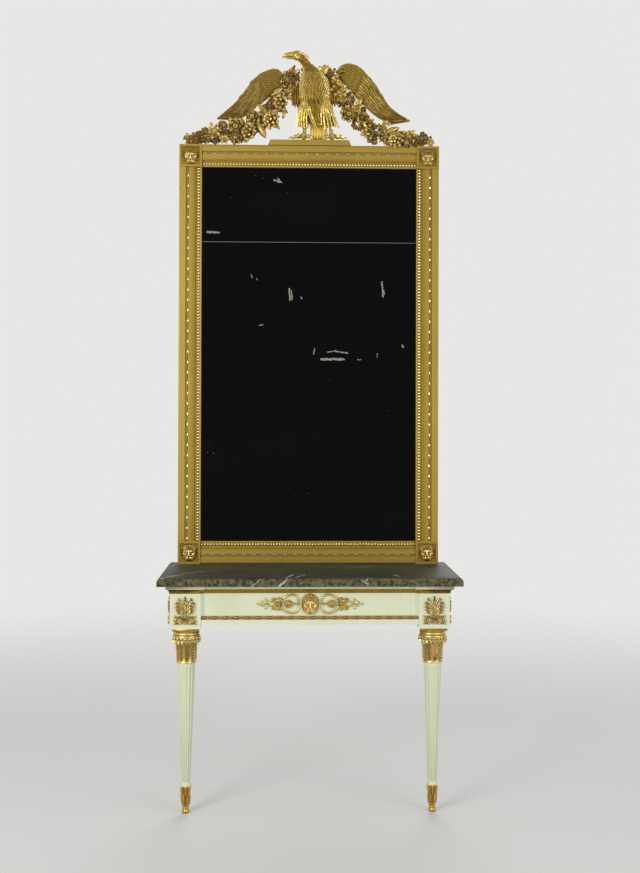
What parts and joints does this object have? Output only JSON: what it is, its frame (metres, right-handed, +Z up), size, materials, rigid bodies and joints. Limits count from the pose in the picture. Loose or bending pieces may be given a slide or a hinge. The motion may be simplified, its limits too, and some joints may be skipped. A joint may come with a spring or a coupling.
{
  "type": "pier table with pier mirror",
  "caption": "White and gilt pier table with a marble slab on tapered fluted front legs, held to the wall, and a giltwood pier mirror with an eagle and garland crest.",
  "frame": {"origin": "on the floor, under the middle of the marble slab's length and depth", "axes": "+Z up, +Y towards the wall, +X to the right as seen by someone facing the table"},
  "size_m": [1.08, 0.45, 2.823],
  "materials": {
    "white_paint": "old cream-white oil paint, satin",
    "giltwood": "water gilding over red bole, worn",
    "gilt_mount": "gilt, bright on the heights",
    "marble": "polished grey-green marble with pale veins",
    "raw_wood": "bare aged pine",
    "iron": "dark forged iron",
    "mirror_glass": "old silvered glass, foxed"
  },
  "bodies": {
    "table": {"front_rail": "white_paint", "left_rail": "white_paint", "right_rail": "white_paint", "back_rail": "raw_wood", "corner_block_left": "white_paint", "corner_block_right": "white_paint", "rear_post_left": "white_paint", "rear_post_right": "white_paint", "centre_bearer": "raw_wood", "glue_blocks": "raw_wood", "lower_bands": "white_paint", "frieze_bead_strips": "giltwood", "frieze_bevels": "white_paint", "cornice_cavetto": "giltwood", "cornice_fillet": "white_paint", "leg_left": "white_paint", "leg_right": "white_paint", "capitals": "giltwood", "sabots": "giltwood", "palmette_front_left": "gilt_mount", "palmette_front_right": "gilt_mount", "palmette_side_left": "gilt_mount", "palmette_side_right": "gilt_mount", "lion_mask": "gilt_mount", "scroll_mount_left": "gilt_mount", "scroll_mount_right": "gilt_mount"},
    "slab": {"marble_slab": "marble"},
    "mirror": {"stile_left": "giltwood", "stile_right": "giltwood", "frame_rail_bottom": "giltwood", "frame_rail_top": "giltwood", "frame_block_bottom_left": "giltwood", "frame_block_bottom_right": "giltwood", "frame_block_top_left": "giltwood", "frame_block_top_right": "giltwood", "corner_masks": "giltwood", "outer_bead_strings": "giltwood", "inner_pearl_strings": "giltwood", "mirror_plate_lower": "mirror_glass", "mirror_plate_upper": "mirror_glass", "backboard": "raw_wood", "back_battens": "raw_wood", "hanging_plates": "iron", "crest_plinth": "giltwood", "eagle_body": "giltwood", "eagle_legs": "giltwood", "eagle_tail": "giltwood", "eagle_wing_left": "giltwood", "eagle_wing_right": "giltwood", "garland_left": "giltwood", "garland_right": "giltwood"}
  },
  "joints": [
    {"name": "slab_lift", "type": "slide", "parent": "table", "child": "slab", "axis": [0, 0, 1], "range_m": [0, 0.15]},
    {"name": "mirror_lift", "type": "slide", "parent": "slab", "child": "mirror", "axis": [0, 0, 1], "range_m": [0, 0.3]}
  ]
}
